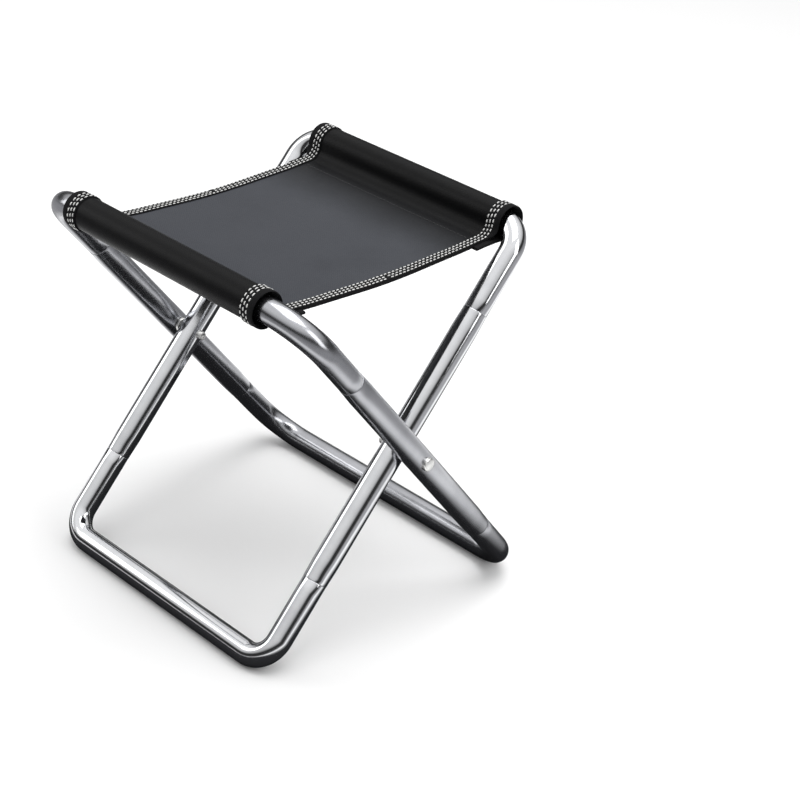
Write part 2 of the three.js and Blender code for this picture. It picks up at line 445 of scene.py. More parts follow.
class Finish(Enum):
    """The finishes that the stool's pieces are dressed in."""

    # Passivated stainless steel, satin-polished: greyer, with wide soft stripes.
    SATIN_TUBE = PolishedSteel("satin_stainless_tube", "#b4b5b9", "#a6a7ab", 0.2, 0.05)
    # Chrome-plated steel, bright-polished: nearly white stripes with crisp dark edges.
    BRIGHT_TUBE = PolishedSteel("chrome_plated_tube", "#dcdddf", "#d0d1d4", 0.085, 0.04)
    # Nickel-plated rivets and washers, tumbled: bright, with a soft all-over gloss.
    RIVET = PolishedSteel(
        "nickel_plated_rivet", "#efefed", "#e2e2e0", 0.34, 0.06, 0.4 * MM, 3 * MM, 0.006 * MM
    )
    CLOTH = CoatedOxford()
    TAPE = RibbedTape()
    WHITE_THREAD = TwistedThread("white_sewing_thread", "#e4e4e2", "#9b9b9a")
    BLACK_THREAD = TwistedThread("black_sewing_thread", "#1c1c1e", "#0b0b0c")

    def material(self) -> Material:
        """Give the finish's material, made on first use."""
        return bpy.data.materials.get(self.value.name) or self.value.make()


# ---------------------------------------------------------------------------------------------
# Mesh making
# ---------------------------------------------------------------------------------------------


@dataclass
class Draft:
    """Points, faces and coordinates of a mesh that is being made."""

    points: list[Vector] = field(default_factory=list)
    faces: list[tuple[int, ...]] = field(default_factory=list)
    corners: list[tuple[float, float]] = field(default_factory=list)

    def loft(self, rows: Sequence[Row], across: Sequence[float], along: Sequence[float]) -> None:
        """Join rows of points with four-sided faces.

        A row or the whole loft closes on itself where it has one coordinate more than points.

        Args:
            rows: The rows, each with the same number of points.
            across: Coordinate of each point of a row.
            along: Coordinate of each row.
        """
        start, wide = len(self.points), len(rows[0])
        for row in rows:
            self.points.extend(row)
        for i in range(len(along) - 1):
            for j in range(len(across) - 1):
                ring = ((i, j), (i, j + 1), (i + 1, j + 1), (i + 1, j))
                self.faces.append(
                    tuple(start + (a % len(rows)) * wide + b % wide for a, b in ring)
                )
                self.corners.extend((across[b], along[a]) for a, b in ring)

    def cap(self, row: Sequence[int]) -> None:
        """Close an opening with one face through the numbered points."""
        self.faces.append(tuple(row))
        self.corners.extend((0.0, 0.0) for _ in row)

    def piece(self, name: str, finish: Finish, sharp: float = 40.0) -> Piece:
        """Turn the draft into a smooth-shaded object.

        Args:
            name: The piece's name.
            finish: What it is dressed in.
            sharp: Angle in degrees above which an edge stays crisp.

        Returns:
            The new object, in the scene.
        """
        mesh = bpy.data.meshes.new(name)
        mesh.from_pydata(self.points, [], self.faces)
        grid = mesh.uv_layers.new(name=GRID)
        grid.data.foreach_set("uv", [number for corner in self.corners for number in corner])
        mesh.polygons.foreach_set("use_smooth", [True] * len(mesh.polygons))
        mesh.set_sharp_from_angle(angle=math.radians(sharp))
        mesh.materials.append(finish.material())
        mesh.update()
        piece = bpy.data.objects.new(name, mesh)
        bpy.context.scene.collection.objects.link(piece)
        return piece


def settle(piece: Piece, body: str, slot: str, *nodes: str) -> Piece:
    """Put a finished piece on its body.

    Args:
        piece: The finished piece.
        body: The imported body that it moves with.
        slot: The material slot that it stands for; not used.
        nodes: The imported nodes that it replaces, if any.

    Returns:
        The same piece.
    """
    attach(piece, body)
    if nodes:
        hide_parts(*nodes)
    return piece


def distances(points: Sequence[Vector]) -> list[float]:
    """Measure how far along a line each of its points is.

    Args:
        points: The line's points, in order.

    Returns:
        The distance from the first point to each.
    """
    reached = [0.0]
    for before, after in zip(points, points[1:]):
        reached.append(reached[-1] + (after - before).length)
    return reached


@dataclass(frozen=True)
class Station:
    """A place on a path, with the two directions that its section is drawn in."""

    centre: Vector
    side: Vector
    up: Vector

    def ring(self, radius: float, steps: int, oval: float = 0.0) -> Row:
        """Draw a round section.

        Args:
            radius: The section's radius.
            steps: How many points it has.
            oval: Share by which it is flattened along its side direction.

        Returns:
            The section's points.
        """
        row = []
        for i in range(steps):
            turn = math.tau * i / steps
            side = self.side * (math.cos(turn) * radius * (1 - oval))
            row.append(self.centre + side + self.up * (math.sin(turn) * radius * (1 + oval / 3)))
        return row


@dataclass
class Turning:
    """A round piece turned on an axis from a profile of (radius, distance) pairs."""

    centre: Vector
    axis: Vector
    steps: int = 64

    def draft(self, profile: Sequence[tuple[float, float]], closed: bool) -> Draft:
        """Turn the profile.

        Args:
            profile: Radius and distance along the axis of each ring.
            closed: True for a ring-shaped piece, false for a solid with two end faces.

        Returns:
            The turned mesh.
        """
        side = self.axis.orthogonal().normalized()
        up = self.axis.cross(side)
        rows = [
            Station(self.centre + self.axis * reach, side, up).ring(radius, self.steps)
            for radius, reach in profile
        ]
        loop = [Vector((radius, reach)) for radius, reach in profile]
        along = distances(loop + loop[:1] if closed else loop)
        widest = max(radius for radius, _ in profile)
        across = [math.tau * widest * i / self.steps for i in range(self.steps + 1)]
        draft = Draft()
        draft.loft(rows, across, along)
        if not closed:
            last = len(draft.points) - self.steps
            draft.cap(list(reversed(range(self.steps))))
            draft.cap(list(range(last, last + self.steps)))
        return draft


def rounded(
    centre: tuple[float, float], radius: float, start: float, end: float, steps: int
) -> list[tuple[float, float]]:
    """List points on an arc, from one angle to another in degrees."""
    turns = (math.radians(start + (end - start) * i / steps) for i in range(steps + 1))
    return [(centre[0] + radius * math.cos(t), centre[1] + radius * math.sin(t)) for t in turns]


# ---------------------------------------------------------------------------------------------
# The stool's layout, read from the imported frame
# ---------------------------------------------------------------------------------------------


@dataclass(frozen=True)
class Layout:
    """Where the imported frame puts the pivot, the rails and the legs."""

    pivot: Vector
    front_rail: Vector
    back_rail: Vector
    outer_x: float
    inner_x: float
    side_radius: float
    bend_radius: float
    side_half: float

    @classmethod
    def read(cls, frame: dict) -> Layout:
        """Read the layout.


        Returns:
            The layout, in metres.
        """
        places = {joint["name"]: Vector(joint["pos_m"]) for joint in frame["joints"]}
        middle, half = [], 0.0
        for node in ("outer_side_tube_right", "inner_side_tube_right"):
            low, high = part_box(node)
            middle.append((low.x + high.x) / 2)
            half = (high.x - low.x) / 2
        rail_low, rail_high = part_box("outer_lower_bend")
        side_low, side_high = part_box("outer_side_tube_right")
        leg = places["seat_front_turn"] - places["fold"]
        width_share = abs(leg.z) / leg.length
        length = (side_high.z - side_low.z - 2 * half * math.sqrt(1 - width_share**2)) / width_share
        outer = (rail_high.x - rail_low.x) / 2 - middle[0]
        return cls(
            pivot=places["fold"],
            front_rail=places["seat_front_turn"],
            back_rail=places["seat_back_turn"],
            outer_x=middle[0],
            inner_x=middle[1],
            side_radius=half,
            bend_radius=outer,
            side_half=length / 2,
        )


class Side(Enum):
    """The two sides of the stool."""

    RIGHT = 1
    LEFT = -1

    @property
    def word(self) -> str:
        """Give the side's name as it stands in piece names."""
        return self.name.lower()


# ---------------------------------------------------------------------------------------------
# Tube frames
# ---------------------------------------------------------------------------------------------


@dataclass
class TubeFrame:
    """One bent frame: two U-shaped bends whose ends plug into straight side tubes."""

    name: str
    body: str
    slot: str
    finish: Finish
    layout: Layout
    half_width: float
    top_rail: Vector
    corner_radius: float
    wall: float = 1.0 * MM
    spigot_radius: float = 7.7 * MM
    spigot_length: float = 18 * MM
    shoulder: float = 0.7 * MM
    ease: float = 0.3 * MM
    overlap: float = 0.4 * MM
    lip: float = 0.3 * MM
    end_taper: float = 0.38 * MM
    taper_length: float = 16 * MM
    bend_flattening: float = 0.035
    ring_steps: int = 56
    corner_steps: int = 22

    def build(self) -> list[Piece]:
        """Build the frame.

        Returns:
            The two bends and the two side tubes.
        """
        made = [self.bend(end) for end in ("upper", "lower")]
        made += [self.side_tube(side) for side in Side]
        return made

    @property
    def rise(self) -> float:
        """Give how far from the pivot the bend grows to its full size."""
        return self.layout.side_half - self.overlap

    def leg(self, end: str) -> Vector:
        """Point from the pivot along the leg towards one end."""
        away = (self.top_rail - self.layout.pivot).normalized()
        return away if end == "upper" else -away

    def bend_stations(self, end: str) -> tuple[list[Station], list[float]]:
        """Lay out a bend's centre line, from one spigot round the rail to the other.

        Args:
            end: "upper" or "lower".

        Returns:
            The stations, and at each how far it is into a corner, from 0 to 1.
        """
        leg, across = self.leg(end), Vector((1.0, 0.0, 0.0))
        normal = across.cross(leg)
        reach = (self.top_rail - self.layout.pivot).length
        start = self.layout.side_half + self.lip
        straight = [start - self.spigot_length, self.rise - self.ease]
        straight += [self.rise + self.shoulder * i / 4 for i in range(5)]
        straight += [start + 8 * MM]
        flat = [(-self.half_width, away, 0.0) for away in straight]
        radius = self.corner_radius
        for i in range(self.corner_steps + 1):
            turn = math.pi / 2 * i / self.corner_steps
            x = -self.half_width + radius * (1 - math.cos(turn))
            flat.append((x, reach - radius * (1 - math.sin(turn)), turn))
        rail = self.half_width - radius
        flat += [(-rail * (1 - i / 6), reach, math.pi / 2) for i in range(1, 6)]
        flat += [(0.0, reach, math.pi / 2)]
        stations, bent = [], []
        mirrored = [(-x, away, math.pi - turn) for x, away, turn in reversed(flat[:-1])]
        for x, away, turn in flat + mirrored:
            direction = across * math.sin(turn) + leg * math.cos(turn)
            centre = self.layout.pivot + across * x + leg * away
            stations.append(Station(centre, direction.cross(normal), normal))
            bent.append(abs(math.sin(2 * turn)))
        return stations, bent

    def bend(self, end: str) -> Piece:
        """Build one bend as a tube with reduced ends.

        Args:
            end: "upper" or "lower".

        Returns:
            The bend.
        """
        stations, bent = self.bend_stations(end)
        outer, inner = [], []
        for station, corner in zip(stations, bent):
            away = (station.centre - self.layout.pivot).dot(self.leg(end))
            grown = smooth(self.rise - self.ease, self.rise + self.shoulder, away)
            radius = self.spigot_radius + (self.layout.bend_radius - self.spigot_radius) * grown
            oval = self.bend_flattening * corner
            outer.append(station.ring(radius, self.ring_steps, oval))
            inner.append(station.ring(radius - self.wall, self.ring_steps, oval))
        rows = outer + inner[::-1]
        line = [s.centre for s in stations]
        along = distances(line)
        whole = along + [2 * along[-1] - d + self.wall for d in reversed(along)]
        whole.append(whole[-1] + self.wall)
        draft = Draft()
        draft.loft(rows, self.around(self.layout.bend_radius), whole)
        piece = draft.piece(f"{self.name}_{end}_tube_bend", self.finish)
        return settle(piece, self.body, self.slot, f"{self.name}_{end}_bend")

    def side_tube(self, side: Side) -> Piece:
        """Build one straight side tube with rolled ends.

        Args:
            side: Which side of the stool it is on.

        Returns:
            The side tube.
        """
        half, radius, bore = self.layout.side_half, self.layout.side_radius, self.wall
        roll, mouth = self.lip, radius - self.end_taper
        profile = []
        for i in range(9):
            share = i / 8
            reach = half - roll - self.taper_length * (1 - share)
            profile.append((radius - self.end_taper * smooth(0.0, 1.0, share), reach))
        profile += rounded((mouth - roll, half - roll), roll, 15, 90, 4)
        profile += rounded((radius - bore + roll, half - roll), roll, 90, 180, 4)
        profile += [(r, -reach) for r, reach in reversed(profile)]
        middle = self.layout.pivot + Vector((side.value * self.half_width, 0.0, 0.0))
        turning = Turning(middle, self.leg("upper"), self.ring_steps)
        draft = turning.draft(profile, closed=True)
        piece = draft.piece(f"{self.name}_straight_tube_{side.word}", self.finish)
        return settle(piece, self.body, self.slot, f"{self.name}_side_tube_{side.word}")

    def around(self, radius: float) -> list[float]:
        """List the distance round the tube of each point of a section."""
        return [math.tau * radius * i / self.ring_steps for i in range(self.ring_steps + 1)]


@dataclass
class PivotHardware:
    """The rivet and the spacer washer on one side."""

    layout: Layout
    side: Side
    head_radius: float = 4.7 * MM
    head_edge: float = 0.8 * MM
    head_sink: float = 1.5 * MM
    crown: float = 0.35 * MM
    shank_radius: float = 2.5 * MM
    tail_radius: float = 3.3 * MM
    tail_curl: float = 0.9 * MM
    washer_radius: float = 5.6 * MM
    washer_edge: float = 0.4 * MM

    def build(self) -> list[Piece]:
        """Build the rivet and the washer."""
        return [self.rivet(), self.washer()]

    def turning(self) -> Turning:
        """Give the axis that both pieces are turned on, pointing outwards."""
        return Turning(self.layout.pivot, Vector((self.side.value, 0.0, 0.0)), 48)

    def rivet(self) -> Piece:
        """Build the rivet.

        Returns:
            The rivet, with a curled tail, a shank and a round flat-topped head.
        """
        node = f"pivot_rivet_{self.side.word}"
        low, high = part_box(node)
        near, far = sorted((abs(low.x), abs(high.x)))
        base = self.layout.outer_x + self.layout.side_radius - self.head_sink
        edge, head = self.head_edge, self.head_radius
        top = far - self.crown
        tail_top = self.layout.inner_x - self.layout.side_radius + 0.8 * MM
        curl = self.tail_curl
        profile = [(0.5 * MM, near + 1.2 * MM), (1.3 * MM, near + 0.9 * MM)]
        profile += rounded((self.tail_radius - curl, near + curl), curl, 210, 360, 8)
        profile += [(self.tail_radius, tail_top), (self.shank_radius, tail_top)]
        profile += [(self.shank_radius, base), (head - 0.2 * MM, base), (head, base + 0.2 * MM)]
        profile += rounded((head - edge, top - edge), edge, 0, 80, 6)
        profile += [(head * 0.55, far - 0.1 * MM), (head * 0.25, far - 0.02 * MM), (0.2 * MM, far)]
        draft = self.turning().draft(profile, closed=False)
        piece = draft.piece(f"rivet_{self.side.word}", Finish.RIVET)
        return settle(piece, "frame_outer", "rivet_steel", node)

    def washer(self) -> Piece:
        """Build the washer.

        Returns:
            The washer between the two side tubes.
        """
        node = f"spacer_washer_{self.side.word}"
        low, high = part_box(node)
        near, far = sorted((abs(low.x), abs(high.x)))
        roll, radius, bore = self.washer_edge, self.washer_radius, self.shank_radius + 0.3 * MM
        profile = rounded((radius - roll, near + roll), roll, -90, 0, 5)
        profile += rounded((radius - roll, far - roll), roll, 0, 90, 5)
        profile += [(bore + 0.2 * MM, far), (bore, far - 0.2 * MM)]
        profile += [(bore, near + 0.2 * MM), (bore + 0.2 * MM, near)]
        draft = self.turning().draft(profile, closed=True)
        piece = draft.piece(f"washer_{self.side.word}", Finish.RIVET)
        return settle(piece, "frame_outer", "rivet_steel", node)


# ---------------------------------------------------------------------------------------------
# Seat
# ---------------------------------------------------------------------------------------------


class Half(Enum):
    """The two halves of the seat sling, by the way that points from the rail to the middle."""

    FRONT = 1
    BACK = -1

    @property
    def word(self) -> str:
        """Give the half's name as it stands in piece names."""
        return self.name.lower()


@dataclass(frozen=True)
class Mark:
    """A point of the sling's side view: inwards and up from the rail, with its outward normal."""

    inward: float
    up: float
    normal_inward: float
    normal_up: float
    reach: float
    zone: str


@dataclass
class SeatHalf:
    """Half of the seat sling, from the middle round its rail to the sewn-down end."""

    layout: Layout
    half: Half
    cloth: float = 1.1 * MM
    sleeve_radius: float = 11.5 * MM
    panel_drop: float = 9 * MM
    fillet: float = 10 * MM
    lap_end: float = 31.4 * MM
    lap_seam: float = 27 * MM
    sag: float = 4.6 * MM
    # Where the painted light on the panel begins and where it is full, measured inwards from the
    # rail.
    rub_from: float = 12 * MM
    rub_to: float = 33 * MM
    tape_overlap: float = 5 * MM
    tape_half: float = 1.6 * MM
    groove: float = 0.28 * MM
    ring_bore_end: float = 11.8 * MM
    ring_radius: float = 12.5 * MM
    stitch_insets: tuple[float, ...] = (1.3 * MM, 3.9 * MM, 6.5 * MM)
    stitch_pitch: float = 3.5 * MM
    stitch_length: float = 2.3 * MM
    stitch_radius: float = 0.5 * MM
    seam_pitch: float = 3.2 * MM
    seam_stitch: float = 2.5 * MM
    seam_radius: float = 0.32 * MM

    def __post_init__(self) -> None:
        """Find the rail, and lay out the side view.

        The widths of the edge are read from the frame.
        """
        front = self.half is Half.FRONT
        self.rail = self.layout.front_rail if front else self.layout.back_rail
        self.body = f"seat_{self.half.word}"
        self.span = abs(self.rail.y)
        low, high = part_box(f"seat_{self.half.word}_hem_right")
        self.tape_inner, self.ring_outer = low.x, high.x
        self.tape_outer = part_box(f"seat_{self.half.word}_binding_right")[1].x
        self.half_width = self.tape_inner + self.tape_overlap
        self.stitch_rows = [self.tape_inner + inset for inset in self.stitch_insets]
        self.marks = self.side_view()

    def build(self) -> list[Piece]:
        """Build the half: its cloth as one sheet, its tapes and its stitches.

        Returns:
            The cloth, its tapes and its stitches.
        """
        cloth = self.sheet()
        trims = [self.tape(side) for side in Side]
        trims += [self.edge_stitches(side) for side in Side]
        trims.append(self.seam_stitches())
        return [cloth, *trims]

    def side_view(self) -> list[Mark]:
        """Lay out the middle line of the cloth.

        Returns:
            Its points, from the middle of the seat round the rail to the sewn-down end.
        """
        drop, middle = self.panel_drop, self.sleeve_radius - self.cloth / 2
        lift = math.asin((self.fillet - drop) / (middle + self.fillet))
        hub = ((middle + self.fillet) * math.cos(lift), (middle + self.fillet) * math.sin(lift))
        line: list[tuple[float, float, str]] = []
        for i in range(33):
            line.append((self.span - (self.span - hub[0]) * i / 32, -drop, "panel"))
        for i in range(1, 14):
            turn = math.radians(-90) - (math.pi / 2 - lift) * i / 13
            x, z = hub[0] + self.fillet * math.cos(turn), hub[1] + self.fillet * math.sin(turn)
            line.append((x, z, "fillet"))
        for i in range(1, 61):
            turn = lift + (math.radians(270) - lift) * i / 60
            line.append((middle * math.cos(turn), middle * math.sin(turn), "wrap"))
        lap = -drop - self.cloth - 0.05 * MM
        for i in range(1, 15):
            inward = self.lap_end * i / 14
            height = -middle + (lap + middle) * smooth(0.0, 14 * MM, inward)
            line.append((inward, height, "lap"))
        reach = distances([Vector((x, z)) for x, z, _ in line])
        marks = []
        for i, (x, z, zone) in enumerate(line):
            before, after = line[max(0, i - 1)], line[min(len(line) - 1, i + 1)]
            run = Vector((after[0] - before[0], after[1] - before[1])).normalized()
            marks.append(Mark(x, z, run.y, -run.x, reach[i], zone))
        return marks

    def place(self, mark: Mark, x: float, off: float) -> Vector:
        """Give a point of the sling.

        Args:
            mark: Where on the side view.
            x: Distance across the seat.
            off: Distance out from the cloth's middle line.

        Returns:
            The point, with the panel's sag.
        """
        inward = mark.inward + mark.normal_inward * off
        up = mark.up + mark.normal_up * off
        y = self.rail.y + self.half.value * inward
        depth = self.slack(x, y) * smooth(10 * MM, 46 * MM, mark.inward)
        return Vector((x, y, self.rail.z + up - depth))

    def slack(self, x: float, y: float) -> float:
        """Work out how far the panel hangs below its straight line.

        Args:
            x: Distance across the seat.
            y: Place between the two rails.

        Returns:
            The sag, with its soft ripples.
        """
        share = y / self.span
        hang = self.sag * (1 - share * share) * (1 - 0.25 * (x / self.ring_outer) ** 2)
        ripple = 0.22 * math.sin(x / (17 * MM) + 0.6) * math.cos(y / (60 * MM))
        ripple += 0.14 * math.sin(x / (7.5 * MM) + 2.1) * math.cos(y / (45 * MM) + 0.3)
        outmost = smooth(self.tape_inner - 17 * MM, self.tape_outer, abs(x))
        edge = 0.5 * outmost * math.cos(y / (19 * MM))
        return hang + (ripple + edge) * MM

    def sheet(self) -> Piece:
        """Build the cloth itself.

        Returns:
            The cloth, as one closed sheet.
        """
        columns = 48
        xs = [self.half_width * (2 * i / columns - 1) for i in range(columns + 1)]
        upper = [[self.place(m, x, self.cloth / 2) for x in xs] for m in self.marks]
        under = [[self.place(m, x, -self.cloth / 2) for x in xs] for m in self.marks]
        rows = [a + b[::-1] for a, b in zip(upper, under)]
        across = xs + [2 * xs[-1] - x for x in reversed(xs)]
        across.append(across[-1] + self.cloth)
        along = [m.reach for m in self.marks]
        draft = Draft()
        draft.loft(rows, across, along)
        ring = len(rows[0])
        last = len(draft.points) - ring
        for start, forward in ((0, True), (last, False)):
            for i in range(columns):
                quad = (i, i + 1, ring - 2 - i, ring - 1 - i)
                numbers = [start + n for n in (quad[::-1] if forward else quad)]
                draft.cap(numbers)
        name = f"seat_{self.half.word}_cloth"
        piece = draft.piece(name, Finish.CLOTH, 50.0)
        # Painted light and shade: the upper face is painted lit from the sleeve inwards, the under
        # face about a third as much, and the sleeve and the sewn-down lap stay a painted shaded
        # black.
        rub = piece.data.attributes.new("rub", "FLOAT", "POINT")
        painted_light_levels = []
        for mark in self.marks:
            share = smooth(self.rub_from, self.rub_to, mark.inward) if mark.zone != "lap" else 0.0
            painted_light_levels += [share] * (columns + 1) + [share * 0.35] * (columns + 1)
        rub.data.foreach_set("value", painted_light_levels)
        nodes = [f"seat_{self.half.word}_{part}" for part in ("sleeve", "panel", "underlap")]
        return settle(piece, self.body, "seat_fabric", *nodes)

    def tape_section(self, mark: Mark) -> list[tuple[float, float]]:
        """Draw the folded tape's section at a mark.

        Args:
            mark: Where on the side view.

        Returns:
            Distance across the seat and offset from the cloth's middle line, all round.
        """
        wrapped = {"panel": 0.0, "lap": 1.0, "wrap": 1.0}.get(mark.zone)
        if wrapped is None:
            wrapped = smooth(20 * MM, 11 * MM, mark.inward) if mark.inward < 20 * MM else 0.0
        start = self.tape_inner
        end = self.tape_outer + (self.ring_outer - self.tape_outer) * wrapped
        top = 1.05 * MM if mark.zone == "lap" else self.tape_half
        middle = self.sleeve_radius - self.cloth / 2
        if mark.zone == "wrap":
            top = self.ring_radius - middle
        flare = (self.ring_bore_end - middle + top) * wrapped if mark.zone != "lap" else 0.0
        nose = 0.45 * MM
        upper = [(start, 0.7 * MM), (start + 0.35 * MM, top - 0.15 * MM)]
        for row in self.stitch_rows:
            upper += [(row - 0.7 * MM, top), (row, top - self.groove), (row + 0.7 * MM, top)]
        upper += [(end - 2.2 * nose, top), (end - nose, top - 0.12 * MM)]
        thick = 2 * top - flare
        lower = []
        for x, off in reversed(upper[1:]):
            share = max(0.0, (x - start) / (end - start))
            lower.append((x, -off + flare * share if wrapped else -off))
        tip = (end, top - thick / 2)
        lower.append((start, -0.7 * MM))
        return upper + [tip] + lower

    def tape(self, side: Side) -> Piece:
        """Build the binding tape on one edge, from the middle round the sleeve to the end.

        Args:
            side: Which side of the stool it is on.

        Returns:
            The tape.
        """
        rows = []
        for mark in self.marks:
            section = self.tape_section(mark)
            rows.append([self.place(mark, side.value * x, off) for x, off in section])
        first = [Vector(pair) for pair in self.tape_section(self.marks[0])]
        across = distances(first + first[:1])
        along = [m.reach for m in self.marks]
        if side is Side.LEFT:
            rows = [row[::-1] for row in rows]
            across = [across[-1] - d for d in reversed(across)]
        draft = Draft()
        draft.loft(rows, across, along)
        ring = len(rows[0])
        last = len(draft.points) - ring
        draft.cap(list(reversed(range(ring))))
        draft.cap(list(range(last, last + ring)))
        piece = draft.piece(f"seat_{self.half.word}_tape_{side.word}", Finish.TAPE, 60.0)
        nodes = [f"seat_{self.half.word}_{part}_{side.word}" for part in ("hem", "binding")]
        return settle(piece, self.body, "binding_tape", *nodes)

    def at_reach(self, reach: float) -> Mark:
        """Find a mark between the laid out ones.

        Args:
            reach: Distance along the cloth from the middle of the seat.

        Returns:
            The mark there.
        """
        i = next((n for n, m in enumerate(self.marks) if m.reach >= reach), len(self.marks) - 1)
        a, b = self.marks[max(0, i - 1)], self.marks[i]
        t = 0.0 if a is b else (reach - a.reach) / (b.reach - a.reach)
        normal = Vector((a.normal_inward, a.normal_up)).lerp(
            Vector((b.normal_inward, b.normal_up)), t
        )
        normal.normalize()
        inward, up = a.inward + (b.inward - a.inward) * t, a.up + (b.up - a.up) * t
        return Mark(inward, up, normal.x, normal.y, reach, b.zone)

    def stitch(self, draft: Draft, ends: tuple[Vector, Vector], up: Vector, radius: float) -> None:
        """Add one stitch, a flattened bead of thread whose ends dive into the cloth.

        Args:
            draft: The mesh to add to.
            ends: Where the thread comes up and goes down.
            up: The way out of the cloth.
            radius: Half the thread's thickness.
        """
        start, end = ends
        run = end - start
        side = run.cross(up).normalized()
        steps, rows = 8, []
        swell = ((0.0, 0.35), (0.1, 0.75), (0.3, 1.0), (0.7, 1.0), (0.9, 0.75), (1.0, 0.35))
        for share, size in swell:
            lift = up * (radius * 0.75 * (math.sin(math.pi * share) ** 0.5) - radius * 0.35)
            centre = start + run * share + lift
            turns = [math.tau * i / steps for i in range(steps)]
            wide, high = side * (radius * size), up * (radius * size * 0.8)
            rows.append([centre + wide * math.cos(t) + high * math.sin(t) for t in turns])
        first = len(draft.points)
        across = [math.tau * radius * i / steps for i in range(steps + 1)]
        draft.loft(rows, across, [run.length * share for share, _ in swell])
        last = len(draft.points) - steps
        draft.cap(list(reversed(range(first, first + steps))))
        draft.cap(list(range(last, last + steps)))

    def edge_stitches(self, side: Side) -> Piece:
        """Build the rows of stitches that hold the tape on one edge, on both of its faces.

        Args:
            side: Which side of the stool it is on.

        Returns:
            The stitches, as one piece.
        """
        draft = Draft()
        wrap_end = max(m.reach for m in self.marks if m.zone == "wrap")
        count = int((wrap_end - 4 * MM) / self.stitch_pitch)
        for number, row in enumerate(self.stitch_rows):
            for i in range(count):
                begin = 0.6 * MM + (i + 0.22 * number) * self.stitch_pitch
                for face in (1, -1):
                    self.edge_stitch(draft, side, row, begin, face, i + 97 * number)
        name = f"seat_{self.half.word}_edge_stitches_{side.word}"
        piece = draft.piece(name, Finish.WHITE_THREAD, 60.0)
        return settle(piece, self.body, "binding_tape")

    def edge_stitch(
        self, draft: Draft, side: Side, row: float, begin: float, face: int, number: int
    ) -> None:
        """Add one stitch of a row to the edge.

        Args:
            draft: The mesh to add to.
            side: Which edge.
            row: Distance of the row from the middle of the seat.
            begin: Where along the cloth the stitch comes up.
            face: 1 for the outer face, -1 for the under face of the panel.
            number: The stitch's own number, for its small unevenness.
        """
        mark = self.at_reach(begin)
        if face < 0 and mark.zone != "panel":
            return
        length = self.stitch_length * (1 + 0.08 * jitter(number, 1.0))
        after = self.at_reach(begin + length)
        sway = 0.12 * MM
        level = self.tape_half - self.groove
        if mark.zone == "wrap":
            level = self.ring_radius - self.sleeve_radius + self.cloth / 2 - self.groove
        points = []
        for end, salt in ((mark, 2.0), (after, 3.0)):
            x = side.value * (row + sway * jitter(number, salt))
            points.append(self.place(end, x, face * (level + 0.12 * MM)))
        up = Vector((0.0, self.half.value * mark.normal_inward, mark.normal_up)) * face
        self.stitch(draft, (points[0], points[1]), up, self.stitch_radius)

    def seam_stitches(self) -> Piece:
        """Build the row of stitches that sews the end of the cloth down.

        Returns:
            The stitches on both faces, as one piece.
        """
        draft = Draft()
        mark = min(
            (m for m in self.marks if m.zone == "panel"),
            key=lambda m: abs(m.inward - self.lap_seam),
        )
        under = self.cloth * 1.5 + 0.05 * MM
        pitch, length = self.seam_pitch, self.seam_stitch
        count = int(2 * (self.tape_inner - 2 * MM) / pitch)
        for i in range(count):
            x = pitch * (i - count / 2)
            for off, face in ((self.cloth / 2, 1), (-under, -1)):
                ends = tuple(self.place(mark, x + step, off) for step in (0.0, length))
                up = Vector((0.0, 0.0, float(face)))
                self.stitch(draft, ends, up, self.seam_radius)
        name = f"seat_{self.half.word}_seam_stitches"
        piece = draft.piece(name, Finish.BLACK_THREAD, 60.0)
        return settle(piece, self.body, "seat_fabric")


# ---------------------------------------------------------------------------------------------
# Studio
# ---------------------------------------------------------------------------------------------


@dataclass(frozen=True)
class Softbox:
    """A plain rectangular area light."""

    name: str
    place: tuple[float, float, float]
    size: tuple[float, float]
    power: float
    colour: str = "#ffffff"

    def build(self, target: Vector) -> None:
        """Hang the light.

        Args:
            target: What it faces.
        """
        data = bpy.data.lights.new(self.name, "AREA")
        data.shape, data.size, data.size_y = "RECTANGLE", *self.size
        data.energy = self.power
        data.color = linear(self.colour)[:3]
        lamp = bpy.data.objects.new(self.name, data)
        lamp.location = Vector(self.place)
        lamp.rotation_mode = "QUATERNION"
        lamp.rotation_quaternion = (target - lamp.location).to_track_quat("-Z", "Y")
        bpy.context.scene.collection.objects.link(lamp)


@dataclass(frozen=True)
class Camera:
    """The camera, placed by its angles round a point at half the stool's height."""

    azimuth: float = 42.6
    elevation: float = 28.9
    roll: float = 4.7
    distance: float = 1.3
    slide: float = 77.7 * MM
    lower: float = 7.4 * MM
    height: float = 140 * MM
    lens: float = 84.5

    def build(self) -> None:
        """Make the camera and give it to the scene.

        It looks along its own angles, with no shift and no depth of field.
        """
        a, e, roll = (math.radians(v) for v in (self.azimuth, self.elevation, self.roll))
        back = Vector((math.sin(a) * math.cos(e), -math.cos(a) * math.cos(e), math.sin(e)))
        right = Vector((math.cos(a), math.sin(a), 0.0))
        up = back.cross(right)
        spot = Vector((0.0, 0.0, self.height))
        spot += back * self.distance + right * self.slide - up * self.lower
        turned_right = right * math.cos(roll) + up * math.sin(roll)
        turned_up = up * math.cos(roll) - right * math.sin(roll)
        data = bpy.data.cameras.new("view")
        data.sensor_width = 36.0
        data.lens = self.lens
        data.dof.use_dof = False
        data.clip_start, data.clip_end = 0.01, 50.0
        camera = bpy.data.objects.new("view", data)
        turn = Matrix((turned_right, turned_up, back)).transposed().to_4x4()
        camera.matrix_world = Matrix.Translation(spot) @ turn
        bpy.context.scene.collection.objects.link(camera)
        bpy.context.scene.camera = camera


